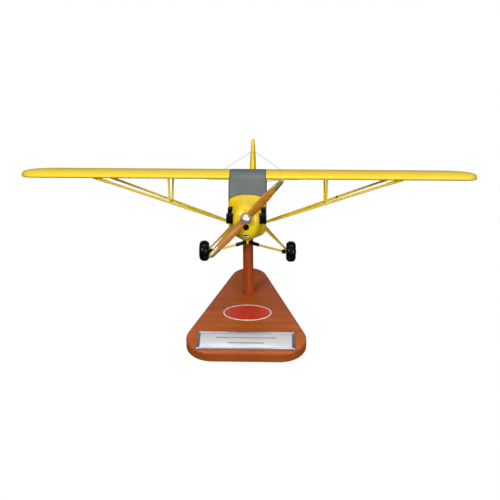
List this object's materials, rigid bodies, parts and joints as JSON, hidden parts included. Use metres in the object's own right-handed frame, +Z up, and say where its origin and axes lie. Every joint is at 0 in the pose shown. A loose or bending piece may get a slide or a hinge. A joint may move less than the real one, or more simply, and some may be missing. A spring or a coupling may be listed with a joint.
{
  "type": "desk display model aeroplane",
  "caption": "Carved wooden model of a yellow strut-braced high-wing light aeroplane, held nose-up by a peg on a round post over a rounded three-cornered mahogany base.",
  "frame": {"origin": "underside of the base's felt, straight below the axis of the post", "axes": "+Z up, the nose points to -Y, +X along the wing towards the aeroplane's own left tip"},
  "size_m": [0.4454, 0.3184, 0.1631],
  "materials": {
    "mahogany": "reddish mahogany under satin lacquer",
    "felt": "dark pressed felt",
    "yellow_enamel": "gloss yellow enamel on carved mahogany",
    "window_grey": "satin grey painted film",
    "dowel_wood": "plain beech dowel",
    "black_enamel": "gloss black enamel",
    "black_tyre": "gloss black lacquer on a turned wheel",
    "polished_metal": "bright polished metal",
    "satin_plate": "fine satin plate",
    "steel": "drawn steel",
    "brass": "turned brass",
    "propeller_wood": "varnished tan wood",
    "tip_metal": "dull metal sheath",
    "badge_red": "plain red print",
    "badge_cream": "plain cream print"
  },
  "bodies": {
    "stand": {"stand_base": "mahogany", "base_felt": "felt", "stand_post": "mahogany", "post_screw": "brass", "post_peg": "steel", "nameplate_frame": "polished_metal", "nameplate": "satin_plate", "base_badge": "badge_red", "badge_border": "badge_cream"},
    "airplane": {"fuselage": "yellow_enamel", "left_wing": "yellow_enamel", "right_wing": "yellow_enamel", "left_front_strut": "yellow_enamel", "left_rear_strut": "yellow_enamel", "right_front_strut": "yellow_enamel", "right_rear_strut": "yellow_enamel", "left_jury_struts": "yellow_enamel", "right_jury_struts": "yellow_enamel", "left_gear_leg": "yellow_enamel", "right_gear_leg": "yellow_enamel", "gear_cabane": "yellow_enamel", "left_shock_rod": "yellow_enamel", "right_shock_rod": "yellow_enamel", "vertical_tail": "yellow_enamel", "tailplane": "yellow_enamel", "windscreen": "window_grey", "skylight": "window_grey", "left_window": "window_grey", "right_window": "window_grey", "wing_dowels": "dowel_wood", "pitot_tube": "black_enamel", "left_front_cylinder": "black_enamel", "left_rear_cylinder": "black_enamel", "right_front_cylinder": "black_enamel", "right_rear_cylinder": "black_enamel", "intake_liner": "black_enamel", "left_shock_cover": "black_enamel", "right_shock_cover": "black_enamel", "left_axle": "black_enamel", "right_axle": "black_enamel", "tail_fork": "black_enamel", "chin_scoop": "polished_metal", "propeller_shaft": "steel", "upper_tail_wires": "steel", "lower_tail_wires": "steel", "tail_spring": "steel", "tail_axle": "steel", "thrust_washer": "brass"},
    "propeller_body": {"propeller": "propeller_wood", "propeller_tips": "tip_metal", "spinner": "polished_metal", "hub_pins": "brass"},
    "left_wheel": {"left_tyre": "black_tyre", "left_hub": "black_enamel"},
    "right_wheel": {"right_tyre": "black_tyre", "right_hub": "black_enamel"},
    "tail_wheel_body": {"tail_wheel": "black_tyre"}
  },
  "joints": [
    {"name": "stand_lift", "type": "slide", "parent": "stand", "child": "airplane", "axis": [0, 0, 1], "range_m": [0, 0.03]},
    {"name": "propeller_spin", "type": "hinge", "parent": "airplane", "child": "propeller_body", "pos_m": [0, -0.04939, 0.1283], "axis": [0, -0.9336, 0.3584], "continuous": true},
    {"name": "left_wheel_spin", "type": "hinge", "parent": "airplane", "child": "left_wheel", "pos_m": [0.0424, -0.01392, 0.07087], "axis": [1, 0, 0], "continuous": true},
    {"name": "right_wheel_spin", "type": "hinge", "parent": "airplane", "child": "right_wheel", "pos_m": [-0.0424, -0.01392, 0.07087], "axis": [1, 0, 0], "continuous": true},
    {"name": "tail_wheel_spin", "type": "hinge", "parent": "airplane", "child": "tail_wheel_body", "pos_m": [0, 0.18998, 0.02441], "axis": [1, 0, 0], "continuous": true}
  ]
}
